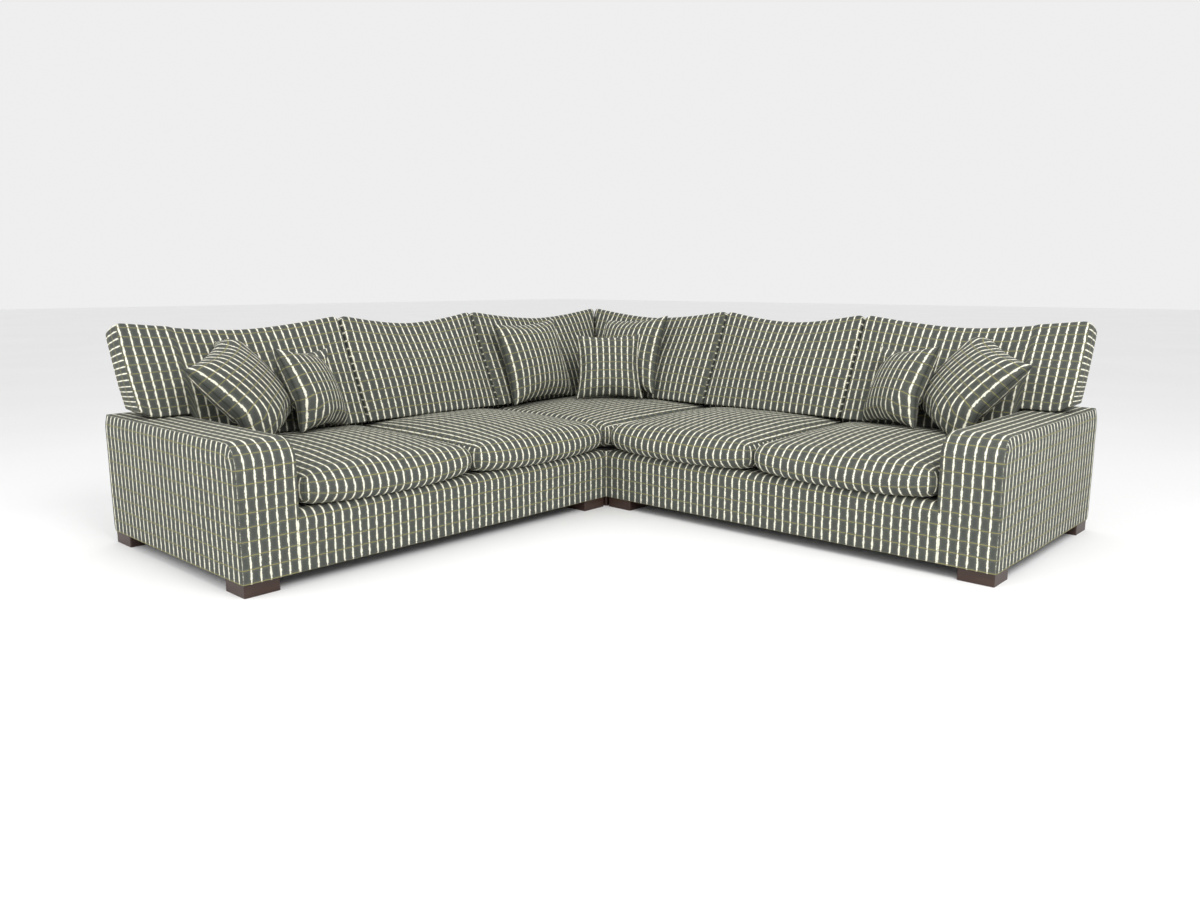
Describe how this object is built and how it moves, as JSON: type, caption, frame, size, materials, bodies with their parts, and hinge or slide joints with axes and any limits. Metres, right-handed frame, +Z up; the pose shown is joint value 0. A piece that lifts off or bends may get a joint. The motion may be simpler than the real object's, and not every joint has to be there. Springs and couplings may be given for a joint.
{
  "type": "corner sofa",
  "caption": "Modular corner sofa: armed wings bolted to a corner unit, loose boxed seat and back cushions, scatter cushions, striped cover and square wood feet.",
  "frame": {"origin": "on the floor at the middle of the sofa's square outline", "axes": "+X along the right wing's back away from the corner unit, +Y towards the right wing's back, +Z up; the left wing runs along -Y"},
  "size_m": [2.952, 2.952, 0.902],
  "materials": {
    "striped_fabric": "woven, matt, cream and olive stripes on dark grey-green",
    "deck_cloth": "plain matt cloth",
    "dust_cloth": "thin matt cloth",
    "webbing": "woven elastic",
    "foam": "open-cell foam",
    "frame_timber": "planed, unfinished",
    "foot_timber": "dark brown stain, satin",
    "steel": "zinc plated"
  },
  "bodies": {
    "base": {"arm_cover_left": "striped_fabric", "arm_cover_right": "striped_fabric", "arm_frame_left": "frame_timber", "arm_frame_right": "frame_timber", "back_cover_corner_left": "striped_fabric", "back_cover_corner_right": "striped_fabric", "back_cover_left": "striped_fabric", "back_cover_right": "striped_fabric", "back_frame_corner": "frame_timber", "back_frame_left": "frame_timber", "back_frame_right": "frame_timber", "back_webbing_corner": "webbing", "back_webbing_left": "webbing", "back_webbing_right": "webbing", "base_border_corner": "striped_fabric", "base_border_left": "striped_fabric", "base_border_right": "striped_fabric", "dust_cover_corner": "dust_cloth", "dust_cover_left": "dust_cloth", "dust_cover_right": "dust_cloth", "feet_corner": "foot_timber", "feet_left": "foot_timber", "feet_right": "foot_timber", "seat_deck_corner": "deck_cloth", "seat_deck_left": "deck_cloth", "seat_deck_right": "deck_cloth", "seat_frame_corner": "frame_timber", "seat_frame_left": "frame_timber", "seat_frame_right": "frame_timber", "seat_webbing_corner": "webbing", "seat_webbing_left": "webbing", "seat_webbing_right": "webbing", "unit_bolts_left": "steel", "unit_bolts_right": "steel"},
    "seat_inner_right": {"seat_cushion_inner_right": "striped_fabric", "seat_foam_inner_right": "foam"},
    "back_inner_right": {"back_cushion_inner_right": "striped_fabric"},
    "seat_end_right": {"seat_cushion_end_right": "striped_fabric", "seat_foam_end_right": "foam"},
    "back_end_right": {"back_cushion_end_right": "striped_fabric"},
    "scatter_large_right": {"scatter_large_right": "striped_fabric"},
    "scatter_small_right": {"scatter_small_right": "striped_fabric"},
    "seat_inner_left": {"seat_cushion_inner_left": "striped_fabric", "seat_foam_inner_left": "foam"},
    "back_inner_left": {"back_cushion_inner_left": "striped_fabric"},
    "seat_end_left": {"seat_cushion_end_left": "striped_fabric", "seat_foam_end_left": "foam"},
    "back_end_left": {"back_cushion_end_left": "striped_fabric"},
    "scatter_large_left": {"scatter_large_left": "striped_fabric"},
    "scatter_small_left": {"scatter_small_left": "striped_fabric"},
    "seat_corner": {"seat_cushion_corner": "striped_fabric", "seat_foam_corner": "foam"},
    "back_corner_right": {"back_cushion_corner_right": "striped_fabric"},
    "back_corner_left": {"back_cushion_corner_left": "striped_fabric"},
    "scatter_corner_large_left": {"scatter_corner_large_left": "striped_fabric"},
    "scatter_corner_large_right": {"scatter_corner_large_right": "striped_fabric"},
    "scatter_corner_small": {"scatter_corner_small": "striped_fabric"}
  },
  "joints": [
    {"name": "seat_inner_right_lift", "type": "slide", "parent": "base", "child": "seat_inner_right", "axis": [0, 0, 1], "range_m": [0, 0.45]},
    {"name": "back_inner_right_lift", "type": "slide", "parent": "seat_inner_right", "child": "back_inner_right", "axis": [0, 0, 1], "range_m": [0, 0.3]},
    {"name": "seat_end_right_lift", "type": "slide", "parent": "base", "child": "seat_end_right", "axis": [0, 0, 1], "range_m": [0, 0.45]},
    {"name": "back_end_right_lift", "type": "slide", "parent": "seat_end_right", "child": "back_end_right", "axis": [0, 0, 1], "range_m": [0, 0.3]},
    {"name": "scatter_large_right_lift", "type": "slide", "parent": "back_end_right", "child": "scatter_large_right", "axis": [0, 0, 1], "range_m": [0, 0.3]},
    {"name": "scatter_small_right_lift", "type": "slide", "parent": "scatter_large_right", "child": "scatter_small_right", "axis": [0, 0, 1], "range_m": [0, 0.3]},
    {"name": "seat_inner_left_lift", "type": "slide", "parent": "base", "child": "seat_inner_left", "axis": [0, 0, 1], "range_m": [0, 0.45]},
    {"name": "back_inner_left_lift", "type": "slide", "parent": "seat_inner_left", "child": "back_inner_left", "axis": [0, 0, 1], "range_m": [0, 0.3]},
    {"name": "seat_end_left_lift", "type": "slide", "parent": "base", "child": "seat_end_left", "axis": [0, 0, 1], "range_m": [0, 0.45]},
    {"name": "back_end_left_lift", "type": "slide", "parent": "seat_end_left", "child": "back_end_left", "axis": [0, 0, 1], "range_m": [0, 0.3]},
    {"name": "scatter_large_left_lift", "type": "slide", "parent": "back_end_left", "child": "scatter_large_left", "axis": [0, 0, 1], "range_m": [0, 0.3]},
    {"name": "scatter_small_left_lift", "type": "slide", "parent": "scatter_large_left", "child": "scatter_small_left", "axis": [0, 0, 1], "range_m": [0, 0.3]},
    {"name": "seat_corner_lift", "type": "slide", "parent": "base", "child": "seat_corner", "axis": [0, 0, 1], "range_m": [0, 0.45]},
    {"name": "back_corner_right_lift", "type": "slide", "parent": "seat_corner", "child": "back_corner_right", "axis": [0, 0, 1], "range_m": [0, 0.3]},
    {"name": "back_corner_left_lift", "type": "slide", "parent": "back_corner_right", "child": "back_corner_left", "axis": [0, 0, 1], "range_m": [0, 0.3]},
    {"name": "scatter_corner_large_left_lift", "type": "slide", "parent": "back_corner_left", "child": "scatter_corner_large_left", "axis": [0, 0, 1], "range_m": [0, 0.3]},
    {"name": "scatter_corner_large_right_lift", "type": "slide", "parent": "scatter_corner_large_left", "child": "scatter_corner_large_right", "axis": [0, 0, 1], "range_m": [0, 0.3]},
    {"name": "scatter_corner_small_lift", "type": "slide", "parent": "scatter_corner_large_right", "child": "scatter_corner_small", "axis": [0, 0, 1], "range_m": [0, 0.3]}
  ]
}
